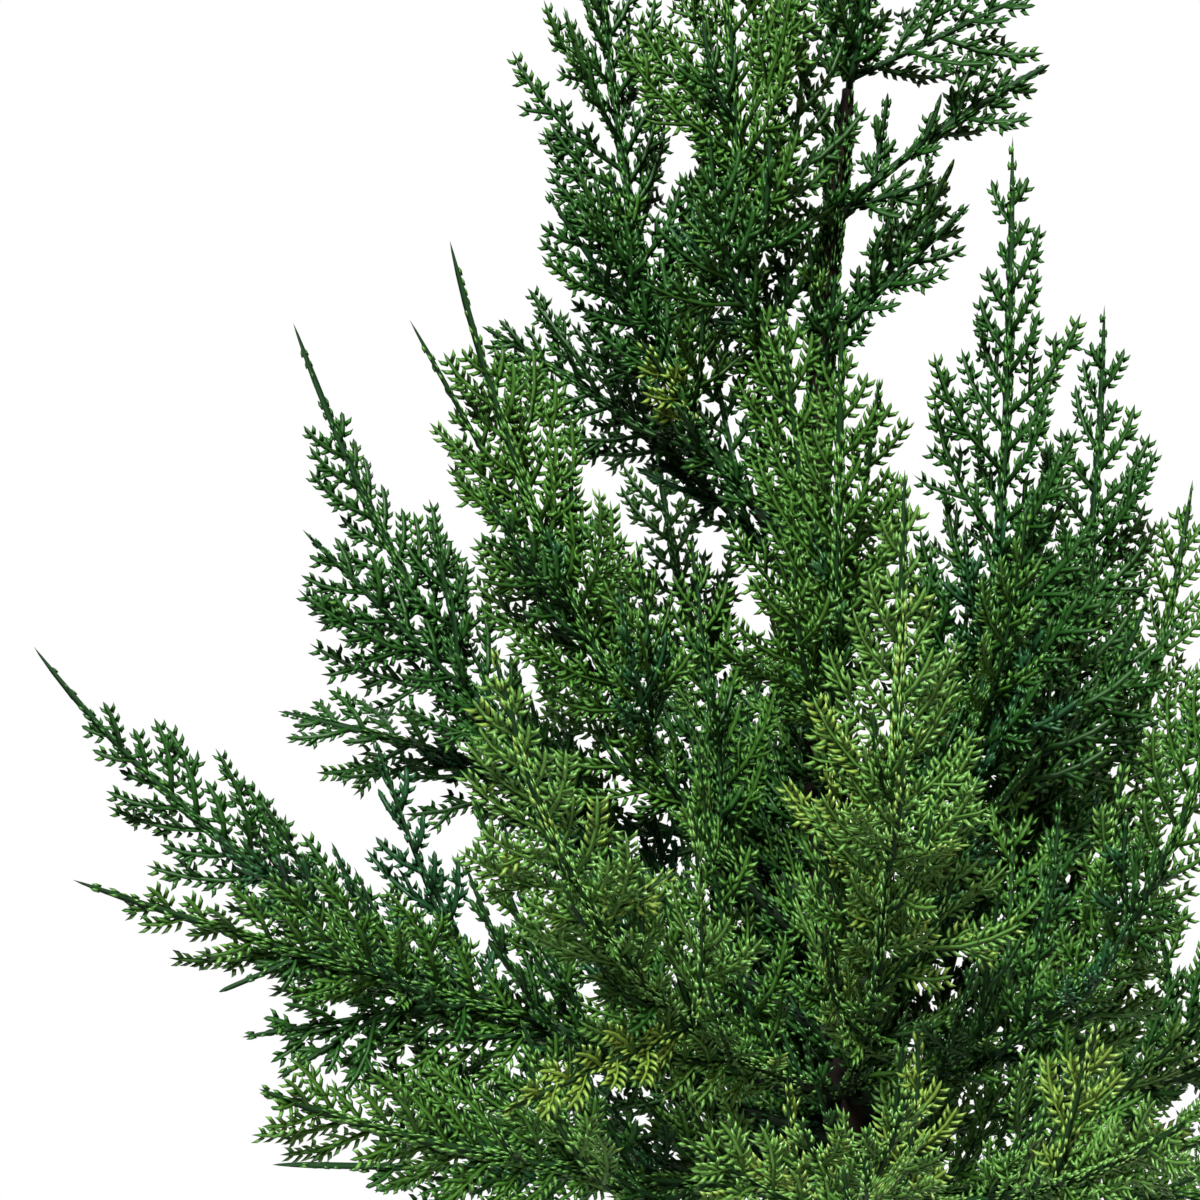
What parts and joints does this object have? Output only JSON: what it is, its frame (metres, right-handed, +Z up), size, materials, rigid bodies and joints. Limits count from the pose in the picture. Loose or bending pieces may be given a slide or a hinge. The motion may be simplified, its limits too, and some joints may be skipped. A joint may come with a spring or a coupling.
{
  "type": "artificial cedar tree",
  "caption": "Artificial cedar tree: a crooked tapering trunk with a root flare, upswept boughs and flame-shaped masses of moulded cedar sprays, rooted by a flat cut at ground level.",
  "frame": {"origin": "centre of the flat cut under the trunk, at ground level", "axes": "+Z up, +X to the right of the picture's view, +Y away from the viewer"},
  "size_m": [0.8015, 0.6975, 0.9141],
  "materials": {
    "bark": "rough moulded bark, dark brown",
    "bough": "wrapped limb, dark green over brown",
    "needles": "soft moulded sprays, satin, several greens"
  },
  "bodies": {
    "root": {"trunk": "bark", "bough_skirt_left": "bough", "bough_skirt_front_left": "bough", "bough_skirt_front": "bough", "bough_skirt_front_right": "bough", "bough_skirt_right": "bough", "bough_skirt_back_right": "bough", "bough_skirt_back": "bough", "bough_skirt_back_left": "bough", "bough_low_left": "bough", "bough_low_left_front": "bough", "bough_low_front_left": "bough", "bough_low_front": "bough", "bough_low_front_right": "bough", "bough_low_right": "bough", "bough_low_back_right": "bough", "bough_low_back": "bough", "bough_low_back_left": "bough", "bough_mid_left": "bough", "bough_mid_left_front": "bough", "bough_mid_left_back": "bough", "bough_mid_front": "bough", "bough_mid_right_front": "bough", "bough_mid_right": "bough", "bough_mid_back": "bough", "bough_top_left": "bough", "bough_top_front": "bough", "bough_top_right": "bough", "bough_top_back_left": "bough", "bough_top_back": "bough", "foliage_skirt_left": "needles", "foliage_skirt_front_left": "needles", "foliage_skirt_front": "needles", "foliage_skirt_front_right": "needles", "foliage_skirt_right": "needles", "foliage_skirt_back_right": "needles", "foliage_skirt_back": "needles", "foliage_skirt_back_left": "needles", "foliage_low_left": "needles", "foliage_low_left_front": "needles", "foliage_low_front_left": "needles", "foliage_low_front": "needles", "foliage_low_front_right": "needles", "foliage_low_right": "needles", "foliage_low_back_right": "needles", "foliage_low_back": "needles", "foliage_low_back_left": "needles", "foliage_mid_left": "needles", "foliage_mid_left_front": "needles", "foliage_mid_left_back": "needles", "foliage_mid_front": "needles", "foliage_mid_right_front": "needles", "foliage_mid_right": "needles", "foliage_mid_back": "needles", "foliage_top_left": "needles", "foliage_top_front": "needles", "foliage_top_right": "needles", "foliage_top_back_left": "needles", "foliage_top_back": "needles", "foliage_leader": "needles"}
  },
  "joints": []
}
